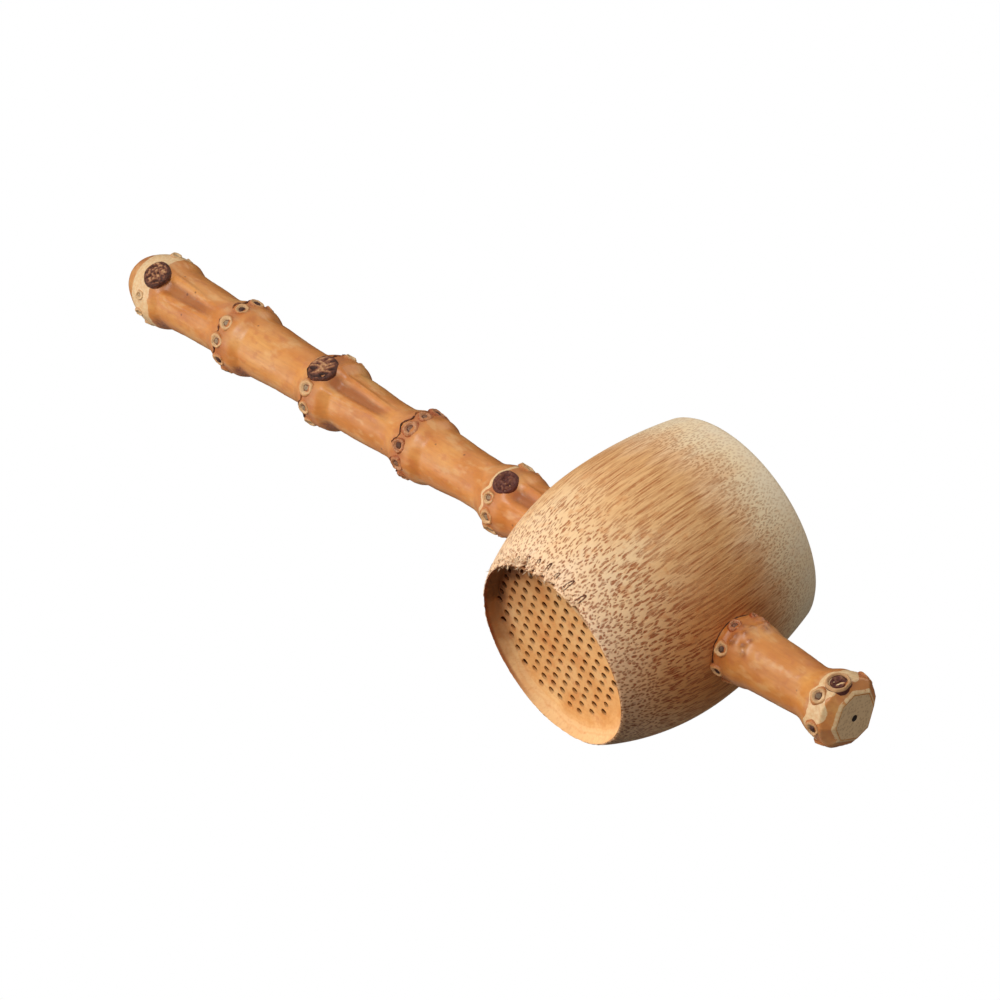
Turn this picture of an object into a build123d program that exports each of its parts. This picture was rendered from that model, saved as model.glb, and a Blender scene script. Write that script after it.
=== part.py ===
from build123d import *

from collections import namedtuple
import math
import os

# A tea strainer made of bamboo. The bowl is a length of thick culm turned on a lathe.
# Its natural septum, drilled with a field of small holes, stands just inside the narrow foot.
# A long stick of bamboo rhizome is the handle and a short one on the far side is the rest,
# so that the two of them carry the bowl across the rim of a cup.
#
# Millimetres. The origin is the centre of the foot ring, +Z runs up the bowl's axis to the
# mouth, and the handle points to -X. Angles about a stick are taken from +Y towards +Z.

# Bowl outside: two arcs that meet upright at the belly
BOWL_HEIGHT = 51.0
FOOT_RADIUS = 20.3
BELLY_RADIUS = 27.0
BELLY_HEIGHT = 26.0
MOUTH_RADIUS = 23.8

# Bowl inside
FOOT_WALL = 0.9
BELLY_WALL = 3.2
MOUTH_WALL = 2.6
RIM_ROUND = 0.8

# Septum
SEPTUM_RADIUS = 19.8
SEPTUM_LOW = 3.0
SEPTUM_THICKNESS = 2.0
FILLET_REACH = 2.3
FILLET_DEPTH = 2.0
FILLET_HOLLOW = 0.3
HOLE_RADIUS = 0.75
HOLE_PITCH = 2.8
HOLE_ROW_SPACING = 2.65
HOLE_ROW_SHIFT = -1.0
HOLE_ROW_TURN = 6.0
HOLE_FIELD_RADIUS = 16.6
HOLE_FIELD_X = -1.4
HOLE_FIELD_Y = -1.0

# Joinery: each stick has a round tenon glued in a mortise through the wall
TENON_RADIUS = 4.0
TENON_PROUD = 0.6
MORTISE_OVERRUN = 10.0
HANDLE_HEIGHT = 27.1
REST_HEIGHT = 25.6

# Rhizome nodes: each is a ring with a row of roots and one bud scar a little further along +X
Node = namedtuple("Node", "station radius bud_lead bud_angle bud_radius root_angle root_count")
HANDLE_TIP = -171.3
HANDLE_NODES = (
    Node(-161.1, 8.0, 2.2, 203.0, 3.2, 246.0, 11),
    Node(-132.3, 7.8, 1.2, 23.0, 3.0, 211.0, 11),
    Node(-101.3, 7.9, 0.2, 193.0, 3.3, 232.0, 11),
    Node(-71.1, 7.3, 1.2, 13.0, 2.8, 202.0, 11),
    Node(-42.5, 7.2, 1.4, 195.0, 2.7, 230.0, 11),
)
HANDLE_WAISTS = (6.4, 6.0, 5.8, 5.6, 5.8)
DOME_RISE = 2.0
DOME_SHARE = 0.7
REST_END = 59.0
REST_NODES = (
    Node(29.2, 6.7, 1.2, 6.0, 2.6, 189.0, 8),
    Node(54.7, 7.3, 1.0, 182.0, 2.5, 216.0, 7),
)
REST_WAIST = 5.5
COPE = 10.0
END_RADIUS = 4.9
END_BEVEL = 2.3
PITH_RADIUS = 0.6
PITH_DEPTH = 3.0

# Shape of one node: a flare on the side of the older waist, a level ring, then a shoulder
RING_HALF = 1.9
FLARE_LENGTH = 5.4
SHOULDER_LENGTH = 4.0
SHOULDER_SWELL = 0.4
FLARE_SAG = 0.18

# Root and bud scars that stand on the rings
ROOT_RADIUS = 1.5
ROOT_PROUD = 0.45
BUD_PROUD = 0.6
SCAR_DEPTH = 2.5
SCAR_GAP = 0.1


def arc_at_belly(radius, end):
    """An arc that leaves the belly upright and ends at a point (radius, height)."""
    start = (radius, BELLY_HEIGHT)
    rise = math.copysign(1.0, end[1] - BELLY_HEIGHT)
    return TangentArc(start, end, tangent=(0, rise))


def turned_on_z(outline):
    """The solid that a closed outline of (radius, height) sweeps about the bowl's axis."""
    return revolve(Plane.XZ * make_face(outline), Axis.Z)


def turned_on_x(outline):
    """The solid that a closed outline of (station, radius) sweeps about the X axis."""
    return revolve(Plane.XZ * make_face(outline), Axis.X)


def bowl_blank():
    """The bowl's outside as one full solid, which also copes the ends of both sticks."""
    outline = arc_at_belly(BELLY_RADIUS, (FOOT_RADIUS, 0))
    outline += arc_at_belly(BELLY_RADIUS, (MOUTH_RADIUS, BOWL_HEIGHT))
    outline += Polyline((FOOT_RADIUS, 0), (0, 0), (0, BOWL_HEIGHT), (MOUTH_RADIUS, BOWL_HEIGHT))
    return turned_on_z(outline)


def mortise(direction, height):
    """A drill along X, from inside the bowl out through one side of the wall."""
    drill = Cylinder(TENON_RADIUS, 2 * BELLY_RADIUS, rotation=(0, 90, 0))
    return Pos(direction * (BELLY_RADIUS + MORTISE_OVERRUN), 0, height) * drill


def bowl_shell(blank):
    """The turned wall: foot ring, seat of the septum, cavity and mouth."""
    septum_top = SEPTUM_LOW + SEPTUM_THICKNESS
    inside = BELLY_RADIUS - BELLY_WALL
    mouth_inside = MOUTH_RADIUS - MOUTH_WALL
    foot_inside = FOOT_RADIUS - FOOT_WALL
    outline = arc_at_belly(inside, (SEPTUM_RADIUS, septum_top))
    outline += arc_at_belly(inside, (mouth_inside, BOWL_HEIGHT))
    outline += Polyline((mouth_inside, BOWL_HEIGHT), (0, BOWL_HEIGHT), (0, 0), (foot_inside, 0))
    outline += Polyline((foot_inside, 0), (SEPTUM_RADIUS, SEPTUM_LOW), (SEPTUM_RADIUS, septum_top))
    shell = blank - turned_on_z(outline)
    rim = shell.faces().sort_by(Axis.Z)[-1]
    shell = fillet(rim.edges(), RIM_ROUND)
    shell -= mortise(-1, HANDLE_HEIGHT)
    shell -= mortise(1, REST_HEIGHT)
    return shell


def hole_places():
    """The staggered rows of drilled holes that fall inside the drilled field."""
    reach = math.ceil(2 * HOLE_FIELD_RADIUS / HOLE_PITCH)
    turn = math.radians(HOLE_ROW_TURN)
    places = []
    for row in range(-reach, reach + 1):
        for step in range(-2 * reach, 2 * reach + 1):
            along = step * HOLE_PITCH + row * HOLE_ROW_SHIFT
            across = row * HOLE_ROW_SPACING
            x = HOLE_FIELD_X + along * math.cos(turn) - across * math.sin(turn)
            y = HOLE_FIELD_Y + along * math.sin(turn) + across * math.cos(turn)
            if math.hypot(x - HOLE_FIELD_X, y - HOLE_FIELD_Y) < HOLE_FIELD_RADIUS:
                places.append((x, y))
    return places


def strainer_septum():
    """The septum: a thin plate, filleted down to the foot's wall, with its drilled holes."""
    top = SEPTUM_LOW + SEPTUM_THICKNESS
    slope = FOOT_WALL - (FOOT_RADIUS - SEPTUM_RADIUS)
    wall_height = SEPTUM_LOW - FILLET_DEPTH
    wall_radius = SEPTUM_RADIUS - slope * FILLET_DEPTH / SEPTUM_LOW
    start = (SEPTUM_RADIUS - FILLET_REACH, SEPTUM_LOW)
    middle = (SEPTUM_RADIUS - FILLET_HOLLOW * FILLET_REACH, SEPTUM_LOW - FILLET_HOLLOW * FILLET_DEPTH)
    end = (wall_radius, wall_height)
    outline = Polyline(start, (0, SEPTUM_LOW), (0, top), (SEPTUM_RADIUS, top))
    outline += Polyline((SEPTUM_RADIUS, top), (SEPTUM_RADIUS, SEPTUM_LOW), end)
    outline += ThreePointArc(start, middle, end)
    plate = turned_on_z(outline)
    drill = Cylinder(HOLE_RADIUS, 3 * SEPTUM_THICKNESS)
    drills = [Pos(x, y, SEPTUM_LOW + SEPTUM_THICKNESS / 2) * drill for x, y in hole_places()]
    return plate - drills


def flare(node, waist):
    """The hollow rise from the waist before a node up to its ring."""
    ring_start = (node.station - RING_HALF, node.radius)
    start = (ring_start[0] - FLARE_LENGTH, waist)
    sag = FLARE_SAG * (node.radius - waist)
    hollow = ((start[0] + ring_start[0]) / 2, (waist + node.radius) / 2 - sag)
    return ThreePointArc(start, hollow, ring_start), start


def shoulder(node, waist):
    """The level ring and the crowned fall after it, which ends a little above the waist."""
    ring_end = (node.station + RING_HALF, node.radius)
    end = (ring_end[0] + SHOULDER_LENGTH, waist + SHOULDER_SWELL)
    sag = FLARE_SAG * (node.radius - end[1])
    crown = ((ring_end[0] + end[0]) / 2, (node.radius + end[1]) / 2 + sag)
    ring = Line((node.station - RING_HALF, node.radius), ring_end)
    return ring + ThreePointArc(ring_end, crown, end), end


def tenon(direction, height):
    """The round end that fills its mortise and stands a little proud inside the bowl."""
    inner = BELLY_RADIUS - BELLY_WALL - TENON_PROUD
    length = BELLY_RADIUS - inner
    rod = Cylinder(TENON_RADIUS, length, rotation=(0, 90, 0))
    return Pos(direction * (inner + length / 2), 0, height) * rod


def handle(blank):
    """The long rhizome: domed tip, five nodes, and its inner end coped to the bowl."""
    first = HANDLE_NODES[0]
    dome_end = (first.station - RING_HALF, first.radius)
    dome_middle = (HANDLE_TIP + DOME_RISE, DOME_SHARE * first.radius)
    outline = ThreePointArc((HANDLE_TIP, 0), dome_middle, dome_end)
    piece, last_point = shoulder(first, HANDLE_WAISTS[0])
    outline += piece
    for node, before, after in zip(HANDLE_NODES[1:], HANDLE_WAISTS, HANDLE_WAISTS[1:]):
        rise, start = flare(node, before)
        fall, end = shoulder(node, after)
        outline += Line(last_point, start)
        outline += rise + fall
        last_point = end
    outline += Polyline(last_point, (-COPE, HANDLE_WAISTS[-1]), (-COPE, 0), (HANDLE_TIP, 0))
    body = Pos(0, 0, HANDLE_HEIGHT) * turned_on_x(outline)
    return body - blank + tenon(-1, HANDLE_HEIGHT)


def rest_stub(blank):
    """The short rhizome: two nodes, a bevelled end with the pith hole, coped to the bowl."""
    near, far = REST_NODES
    near_fall, near_end = shoulder(near, REST_WAIST)
    far_rise, far_start = flare(far, REST_WAIST)
    ring_start = (far.station - RING_HALF, far.radius)
    bevel_start = (REST_END - END_BEVEL, far.radius)
    outline = Polyline((COPE, 0), (COPE, near.radius), (near.station - RING_HALF, near.radius))
    outline += near_fall + Line(near_end, far_start) + far_rise
    outline += Polyline(ring_start, bevel_start, (REST_END, END_RADIUS), (REST_END, 0), (COPE, 0))
    pith = Pos(REST_END, 0, 0) * Cylinder(PITH_RADIUS, 2 * PITH_DEPTH, rotation=(0, 90, 0))
    body = Pos(0, 0, REST_HEIGHT) * (turned_on_x(outline) - pith)
    return body - blank + tenon(1, REST_HEIGHT)


def scar(station, angle, radius, top, height):
    """A round scar as a short peg that points out of a stick at one station and angle."""
    peg = Pos(0, 0, top - SCAR_DEPTH / 2) * Cylinder(radius, SCAR_DEPTH)
    tilted = Rot(angle - 90, 0, 0) * peg
    return Pos(station, 0, height) * tilted


def root_angles(node):
    """Angles of the roots round one ring, evenly stepped, leaving out those at the bud."""
    reach = node.bud_radius + ROOT_RADIUS + SCAR_GAP
    angles = []
    for index in range(node.root_count):
        angle = node.root_angle + index * 360 / node.root_count
        chord = 2 * node.radius * abs(math.sin(math.radians(angle - node.bud_angle) / 2))
        if chord > reach:
            angles.append(angle)
    return angles


def roots(nodes, stick, height):
    """All the root scars of one stick, each a separate solid seated on its ring."""
    pegs = []
    for node in nodes:
        top = node.radius + ROOT_PROUD
        for angle in root_angles(node):
            pegs.append(scar(node.station, angle, ROOT_RADIUS, top, height) - stick)
    return Compound(children=[peg.solid() for peg in pegs])


def buds(nodes, stick, height):
    """The bud scars of one stick, one on each ring, on alternate sides."""
    pegs = []
    for node in nodes:
        station = node.station + node.bud_lead
        top = node.radius + BUD_PROUD
        pegs.append(scar(station, node.bud_angle, node.bud_radius, top, height) - stick)
    return Compound(children=[peg.solid() for peg in pegs])


def write(name, shape):
    export_step(shape, os.path.join("parts", name + ".step"))


def main():
    os.makedirs("parts", exist_ok=True)
    blank = bowl_blank()
    long_stick = handle(blank)
    short_stick = rest_stub(blank)
    write("bowl_shell", bowl_shell(blank))
    write("strainer_septum", strainer_septum())
    write("handle", long_stick)
    write("handle_roots", roots(HANDLE_NODES, long_stick, HANDLE_HEIGHT))
    write("handle_buds", buds(HANDLE_NODES, long_stick, HANDLE_HEIGHT))
    write("rest_stub", short_stick)
    write("rest_stub_roots", roots(REST_NODES, short_stick + blank, REST_HEIGHT))
    write("rest_stub_buds", buds(REST_NODES, short_stick + blank, REST_HEIGHT))


main()
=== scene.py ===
"""Looks of the bamboo tea strainer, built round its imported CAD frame.

Geometry is worked out in millimetres and handed to Blender in metres. Angles about a stick run
from +Y towards +Z, and angles about the bowl from +X towards +Y, in degrees.
"""

import random
from math import atan2, cos, degrees, exp, hypot, pi, radians, sin, sqrt

import bpy
from mathutils import Matrix, Vector, noise
from mathutils.geometry import delaunay_2d_cdt


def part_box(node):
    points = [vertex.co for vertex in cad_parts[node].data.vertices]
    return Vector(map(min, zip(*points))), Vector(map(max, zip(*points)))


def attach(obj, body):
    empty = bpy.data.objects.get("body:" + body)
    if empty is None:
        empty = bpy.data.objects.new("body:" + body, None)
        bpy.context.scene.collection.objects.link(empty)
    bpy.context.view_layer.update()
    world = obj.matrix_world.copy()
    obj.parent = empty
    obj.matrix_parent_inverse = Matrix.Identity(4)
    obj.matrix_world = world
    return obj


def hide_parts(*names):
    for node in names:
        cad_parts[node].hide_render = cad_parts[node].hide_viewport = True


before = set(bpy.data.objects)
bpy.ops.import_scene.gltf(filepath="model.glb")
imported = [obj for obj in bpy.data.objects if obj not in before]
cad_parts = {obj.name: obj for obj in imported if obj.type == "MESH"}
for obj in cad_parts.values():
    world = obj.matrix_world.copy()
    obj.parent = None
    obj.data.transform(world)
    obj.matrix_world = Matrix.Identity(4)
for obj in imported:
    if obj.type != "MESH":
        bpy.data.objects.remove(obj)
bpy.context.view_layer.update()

MM = 0.001

# Camera: a long lens that looks up at the foot from the front right, rolled on its axis
CAMERA_AZIMUTH = 46.26
CAMERA_ELEVATION = -26.33
CAMERA_ROLL = 56.36
CAMERA_LENS = 150.0
CAMERA_DISTANCE = 818.6
CAMERA_AIM = (-18.7, -25.1, 7.7)

# Bowl, as turned: the CAD outline, with the slight oval and lean of a natural culm
BOWL_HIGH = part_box("bowl_shell")[1]
BOWL_HEIGHT = BOWL_HIGH.z / MM
BELLY_RADIUS = BOWL_HIGH.y / MM
BELLY_HEIGHT = 26.0
FOOT_RADIUS = 20.3
MOUTH_RADIUS = 23.8
BELLY_WALL = 3.2
MOUTH_WALL = 2.6
RIM_ROUND = 0.8
FOOT_EDGE = 20.0
BOWL_OVAL = 1.022
BOWL_LEAN_X = -1.0
BOWL_LEAN_Y = -0.9
BOWL_COLUMNS = 360

# Septum and its drilled holes
SEPTUM_RADIUS = 19.8
SEPTUM_LOW = 3.0
SEPTUM_HIGH = 5.0
HOLE_RADIUS = 0.75
HOLE_SIDES = 18
HOLE_PITCH = 2.8
HOLE_ROW_SPACING = 2.65
HOLE_ROW_SHIFT = -1.0
HOLE_ROW_TURN = 6.0
HOLE_START = (-1.6, -0.9)
HOLE_FIELD = (-1.6, -0.7)
HOLE_FIELD_RADIUS = 17.3

# Rhizome: the swelling at each ring, the domed tip and the groove from each bud
RING_FLARE = 8.0
RING_FALL = 6.0
DOME_LENGTH = 11.2
DOME_POWER = 2.8
TIP_WEAR = 0.2
BURIED_SHIFT = 0.9
GROOVE_DEPTH = 0.95
GROOVE_RIDGE = 0.44
ARC_RADIUS = 7.0
STICK_COLUMNS = 132
TUBE_SIDES = 6

# Light: the bright side of the sky, and soft lamps
SKY_BRIGHT = 0.5
SKY_DIM = 0.05
KEY_DIRECTION = (-0.12, -0.86, -0.49)
LAMP_DISTANCE = 0.8
LAMPS = (
    # name, direction of the lamp, its width in metres, watts, colour
    ("key", KEY_DIRECTION, 0.45, 2.75, (1.0, 0.985, 0.96)),
    ("softbox", (-0.65, -0.22, -0.73), 0.58, 2.6, (1.0, 0.985, 0.96)),
    ("top", (0.1, -0.35, 0.93), 0.8, 1.6, (1.0, 0.9, 0.76)),
)


def smooth(low, high, value):
    """0 below low, 1 above high, and an even ease between."""
    t = min(max((value - low) / (high - low), 0), 1)
    return t * t * (3 - 2 * t)


def mix(a, b, t):
    return a + (b - a) * t


def bell(gap, width, power=2):
    """1 where the gap is nothing, and falling away on both sides over a width."""
    return exp(-((gap / width) ** power))


def spin(angle):
    """Cosine and sine of an angle in degrees."""
    turn = radians(angle)
    return cos(turn), sin(turn)


def apart(a, b):
    """The angle between two directions, up to 180."""
    return abs((a - b + 180) % 360 - 180)


def rough(x, y, z, scale, seed=0):
    """Smooth noise from about -1 to 1."""
    return noise.noise(Vector((x * scale + seed, y * scale - seed, z * scale + 0.37 * seed)))


def rough_round(angle, z, scale, seed=0):
    """Smooth noise that closes on itself once round."""
    return rough(*spin(angle), z, scale, seed)


# ---- meshes


def new_object(name, data):
    made = bpy.data.objects.new(name, data)
    bpy.context.scene.collection.objects.link(made)
    return made


def new_mesh(name, verts, faces):
    """A smooth mesh object from points in millimetres."""
    mesh = bpy.data.meshes.new(name)
    mesh.from_pydata([Vector(v) * MM for v in verts], [], faces)
    mesh.validate()
    mesh.update()
    mesh.polygons.foreach_set("use_smooth", [True] * len(mesh.polygons))
    return new_object(name, mesh)


class Shape:
    """Points, faces and named values on the points, gathered until they make one piece."""

    def __init__(self, *names):
        self.verts = []
        self.faces = []
        self.values = {name: [] for name in names}

    def add(self, verts, faces, *values):
        """Adds a small mesh, with one list of values for each name."""
        start = len(self.verts)
        self.verts += verts
        self.faces += [tuple(start + i for i in face) for face in faces]
        for name, data in zip(self.values, values):
            self.values[name] += data

    def note(self, vert, *values):
        """Adds one point and its values."""
        self.verts.append(vert)
        for name, value in zip(self.values, values):
            self.values[name].append(value)

    def finish(self, name, material, slot, *nodes):
        """Makes the piece, which rides on the root and stands for the CAD nodes given."""
        piece = new_mesh(name, self.verts, self.faces)
        for key, data in self.values.items():
            piece.data.attributes.new(key, "FLOAT", "POINT").data.foreach_set("value", data)
        piece.data.materials.append(material)
        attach(piece, "root")
        if nodes:
            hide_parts(*nodes)


def ring_faces(rows, columns, closed_rows=False):
    """Quads between rows of points that each close round on themselves."""
    faces = []
    for i in range(rows if closed_rows else rows - 1):
        a = i * columns
        b = (i + 1) % rows * columns
        for j in range(columns):
            k = (j + 1) % columns
            faces.append((a + j, a + k, b + k, b + j))
    return faces


def turned_over(faces):
    return [tuple(reversed(face)) for face in faces]


def islands(node):
    """Centre and half length along X, in millimetres, of each separate solid in one CAD node."""
    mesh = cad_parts[node].data
    spots = {}
    owner = []
    for vertex in mesh.vertices:
        key = tuple(round(c / MM, 3) for c in vertex.co)
        owner.append(spots.setdefault(key, len(spots)))
    parent = list(range(len(spots)))

    def root(i):
        while parent[i] != i:
            parent[i] = parent[parent[i]]
            i = parent[i]
        return i

    for polygon in mesh.polygons:
        first = root(owner[polygon.vertices[0]])
        for v in polygon.vertices[1:]:
            parent[root(owner[v])] = first
    groups = {}
    for key, i in spots.items():
        groups.setdefault(root(i), []).append(Vector(key))
    centres = []
    for points in groups.values():
        low = Vector(min(p[k] for p in points) for k in range(3))
        high = Vector(max(p[k] for p in points) for k in range(3))
        centres.append(((low + high) / 2, (high.x - low.x) / 2))
    return sorted(centres, key=lambda c: (round(c[0].x, 1), c[0].y))


# ---- shader nodes


def rgb(red, green, blue):
    """An sRGB colour given from 0 to 255, as the linear colour that shaders take."""
    linear = []
    for value in (red, green, blue):
        c = value / 255
        linear.append(c / 12.92 if c <= 0.04045 else ((c + 0.055) / 1.055) ** 2.4)
    return (*linear, 1)


class Nodes:
    """Short calls that add and join the shader nodes of one material or world."""

    def __init__(self, owner, output):
        owner.use_nodes = True
        self.tree = owner.node_tree
        self.tree.nodes.clear()
        self.output = self.add(output)

    def add(self, kind, inputs=(), **settings):
        """Adds a node by the end of its type's name, with its settings and what feeds it."""
        node = self.tree.nodes.new("ShaderNode" + kind)
        for key, value in settings.items():
            setattr(node, key, value)
        for key, value in dict(inputs).items():
            self.feed(node.inputs[key], value)
        return node

    def link(self, source, target):
        self.tree.links.new(source, target)

    def feed(self, socket, value):
        """Joins a socket to another one or sets its value; colours are sRGB from 0 to 255."""
        if isinstance(value, bpy.types.NodeSocket):
            self.link(value, socket)
        elif socket.type == "RGBA":
            socket.default_value = rgb(*value)
        else:
            socket.default_value = value

    def vector(self, operation, *values):
        node = self.add("VectorMath", enumerate(values), operation=operation)
        return node.outputs["Value" if operation in ("LENGTH", "DOT_PRODUCT") else "Vector"]

    def scaled(self, vector, factor):
        return self.add("VectorMath", {0: vector, "Scale": factor}, operation="SCALE").outputs[0]

    def math(self, operation, first, *others):
        """One operation on one value, on two, or on more of them in turn."""
        for other in others or (0,):
            first = self.add("Math", {0: first, 1: other}, operation=operation).outputs[0]
        return first

    def plus(self, *values):
        return self.math("ADD", *values)

    def times(self, *values):
        return self.math("MULTIPLY", *values)

    def ramp(self, value, low, high, to_low=0, to_high=1, ease=True):
        """A clamped map of one range on another."""
        keys = ("Value", "From Min", "From Max", "To Min", "To Max")
        inputs = zip(keys, (value, low, high, to_low, to_high))
        kind = "SMOOTHSTEP" if ease else "LINEAR"
        return self.add("MapRange", inputs, interpolation_type=kind).outputs["Result"]

    def either(self, choice, first, second):
        """Sends one of two shaders to the output."""
        mixed = self.add("MixShader", {0: choice, 1: first, 2: second})
        self.link(mixed.outputs[0], self.output.inputs["Surface"])


class Surface(Nodes):
    """A material whose base colour is built up in layers."""

    def __init__(self, name):
        self.material = bpy.data.materials.new(name)
        super().__init__(self.material, "OutputMaterial")
        self.shader = self.add("BsdfPrincipled")
        self.link(self.shader.outputs[0], self.output.inputs["Surface"])
        self.place = self.scaled(self.add("TexCoord").outputs["Object"], 1 / MM)
        self.base = None

    def split(self, vector):
        return self.add("SeparateXYZ", {0: vector}).outputs[:3]

    def join(self, *values):
        return self.add("CombineXYZ", enumerate(values)).outputs[0]

    def noise(self, vector, scale, detail=3, roughness=0.55):
        inputs = {"Vector": vector, "Scale": scale, "Detail": detail, "Roughness": roughness}
        return self.add("TexNoise", inputs).outputs["Fac"]

    def grain(self, stretch, detail=3, roughness=0.55):
        """Noise by place, drawn out along some of the axes."""
        return self.noise(self.vector("MULTIPLY", self.place, stretch), 1, detail, roughness)

    def cells(self, vector, scale, randomness=0.8, dimensions="3D"):
        inputs = {"Vector": vector, "Scale": scale, "Randomness": randomness}
        return self.add("TexVoronoi", inputs, voronoi_dimensions=dimensions).outputs

    def blend(self, share, a, b, mode="MIX"):
        inputs = {0: share, 6: a, 7: b}
        return self.add("Mix", inputs, data_type="RGBA", blend_type=mode).outputs[2]

    def cover(self, share, colour, mode="MIX"):
        """Lays a share of a colour over the base colour."""
        self.base = self.blend(share, self.base, colour, mode)

    def colours(self, value, *stops):
        """A colour ramp: stops are (place, red, green, blue)."""
        node = self.add("ValToRGB", {0: value})
        elements = node.color_ramp.elements
        while len(elements) < len(stops):
            elements.new(0.5)
        for element, (place, *colour) in zip(elements, stops):
            element.position = place
            element.color = rgb(*colour)
        return node.outputs[0]

    def attribute(self, name):
        return self.add("Attribute", attribute_name=name).outputs["Fac"]

    def bump(self, height, strength, distance):
        inputs = {"Height": height, "Strength": strength, "Distance": distance * MM}
        self.link(self.add("Bump", inputs).outputs[0], self.shader.inputs["Normal"])

    def finish(self, roughness, specular=0.4, coat=0, coat_roughness=0.2):
        for key, value in (
            ("Base Color", self.base),
            ("Roughness", roughness),
            ("Specular IOR Level", specular),
            ("Coat Weight", coat),
            ("Coat Roughness", coat_roughness),
        ):
            self.feed(self.shader.inputs[key], value)
        return self.material


# ---- materials


def culm_material():
    """Turned culm: cream ground crossed by brown fibre bundles that the turned surface cuts.

    The bundles run up the culm, so one flat pattern, looked up by place across the culm, gives
    long lines at the upright belly and short dashes where the wall leans in.
    """
    n = Surface("turned_culm")
    x, y, z = n.split(n.place)
    flat = n.join(x, y, 0)
    radius = n.vector("LENGTH", flat)
    foot_lean = n.ramp(z, 0, 8, -1.7, 0, ease=False)
    mouth_lean = n.ramp(z, 38, 51, 0, -5, ease=False)
    wander = n.ramp(n.grain((0.5, 0.5, 0.12), 2), 0.3, 0.7, -0.35, 0.35, ease=False)
    lean = n.plus(foot_lean, mouth_lean, wander)
    across = n.scaled(flat, n.math("DIVIDE", n.plus(radius, lean), radius))
    shake = n.vector("MULTIPLY", n.place, (1.1, 1.1, 0.45))
    shake_x = n.noise(shake, 1, 3, 0.6)
    shake_y = n.noise(n.vector("ADD", shake, (9, 4, 2)), 1, 3, 0.6)
    across = n.vector("ADD", across, n.scaled(n.join(shake_x, shake_y, 0), 0.9))
    edge = n.ramp(n.grain((0.22, 0.22, 0.1)), 0.3, 0.7, -3.5, 3.5, ease=False)
    level = n.plus(z, edge)
    grain = n.grain((2.4, 2.4, 0.5), 3, 0.6)

    # Low on the bowl: dark dots at the foot that lengthen to dashes
    cell = n.cells(across, 1 / 0.62, 0.85, "2D")
    size = n.plus(
        n.ramp(n.split(cell["Color"])[0], 0, 1, 0.17, 0.34),
        n.ramp(level, 0, 10, 0, 0.03),
        n.ramp(x, 2, 18, 0, 0.08),
    )
    dashes = n.times(
        n.ramp(n.math("SUBTRACT", cell["Distance"], size), -0.14, 0.14, 1, 0),
        n.ramp(grain, 0.3, 0.6, 0.45, 1),
        n.ramp(level, 0, 8, 0.9, 0.95),
        n.ramp(level, 11, 26, 1, 0.45),
        n.ramp(level, 34, 42, 1, 0),
    )

    # Round the belly: long fine lines
    long_cell = n.cells(n.vector("MULTIPLY", n.place, (1, 1, 0.03)), 1 / 0.62, 0.75)
    lines = n.times(
        n.ramp(long_cell["Distance"], 0.22, 0.5, 1, 0),
        n.ramp(grain, 0.32, 0.62, 0.45, 1),
        n.ramp(level, 10, 24, 0, 0.9),
        n.ramp(level, 36, 46, 1, 0),
    )

    # Near the mouth: fine short dashes that fade to pale dots
    dots = n.times(
        n.ramp(n.cells(across, 1 / 0.56, 0.85, "2D")["Distance"], 0.14, 0.46, 1, 0),
        n.ramp(level, 30, 40, 0, 0.8),
        n.ramp(z, 42, 50, 0.85, 0.4),
    )
    fibre = n.math("MAXIMUM", dashes, lines, dots)

    drift = n.ramp(n.grain((0.14, 0.14, 0.05)), 0.3, 0.7, -0.06, 0.06)
    tone = n.plus(n.math("DIVIDE", z, BOWL_HEIGHT), drift)
    n.base = n.colours(
        tone,
        (0, 254, 226, 192), (0.22, 255, 221, 174), (0.42, 248, 200, 142),
        (0.6, 240, 190, 130), (0.72, 248, 206, 158), (0.84, 255, 230, 190),
        (1, 250, 232, 202),
    )
    dark = n.colours(
        tone,
        (0, 154, 88, 50), (0.3, 178, 102, 54), (0.55, 186, 114, 60), (0.75, 184, 122, 76),
        (1, 206, 172, 134),
    )
    streak = n.grain((1.9, 1.9, 0.1), 4, 0.65)
    banding = n.times(n.ramp(z, 14, 30, 0.12, 0.42), n.ramp(z, 38, 48, 1, 0.1))
    n.cover(n.times(n.ramp(streak, 0.38, 0.72), banding), dark)
    glow = n.times(
        n.ramp(n.grain((0.55, 0.55, 0.4), 2), 0.55, 0.7, 0, 0.45),
        n.ramp(level, 3, 9),
        n.ramp(level, 22, 30, 1, 0.3),
    )
    n.cover(glow, (222, 148, 86))
    n.cover(fibre, dark)
    # Painted shade with a warm cast: the wall darkens towards where the stub meets it
    stub_shade_distance = n.vector("LENGTH", n.vector("SUBTRACT", n.place, (BELLY_RADIUS, 0, 20)))
    n.cover(n.ramp(stub_shade_distance, 7, 28, 0.85, 0), (220, 180, 140), mode="MULTIPLY")
    n.bump(n.math("SUBTRACT", n.times(streak, 0.4), fibre), 0.55, 0.14)
    return n.finish(n.ramp(fibre, 0, 1, 0.5, 0.58), specular=0.3)


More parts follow.
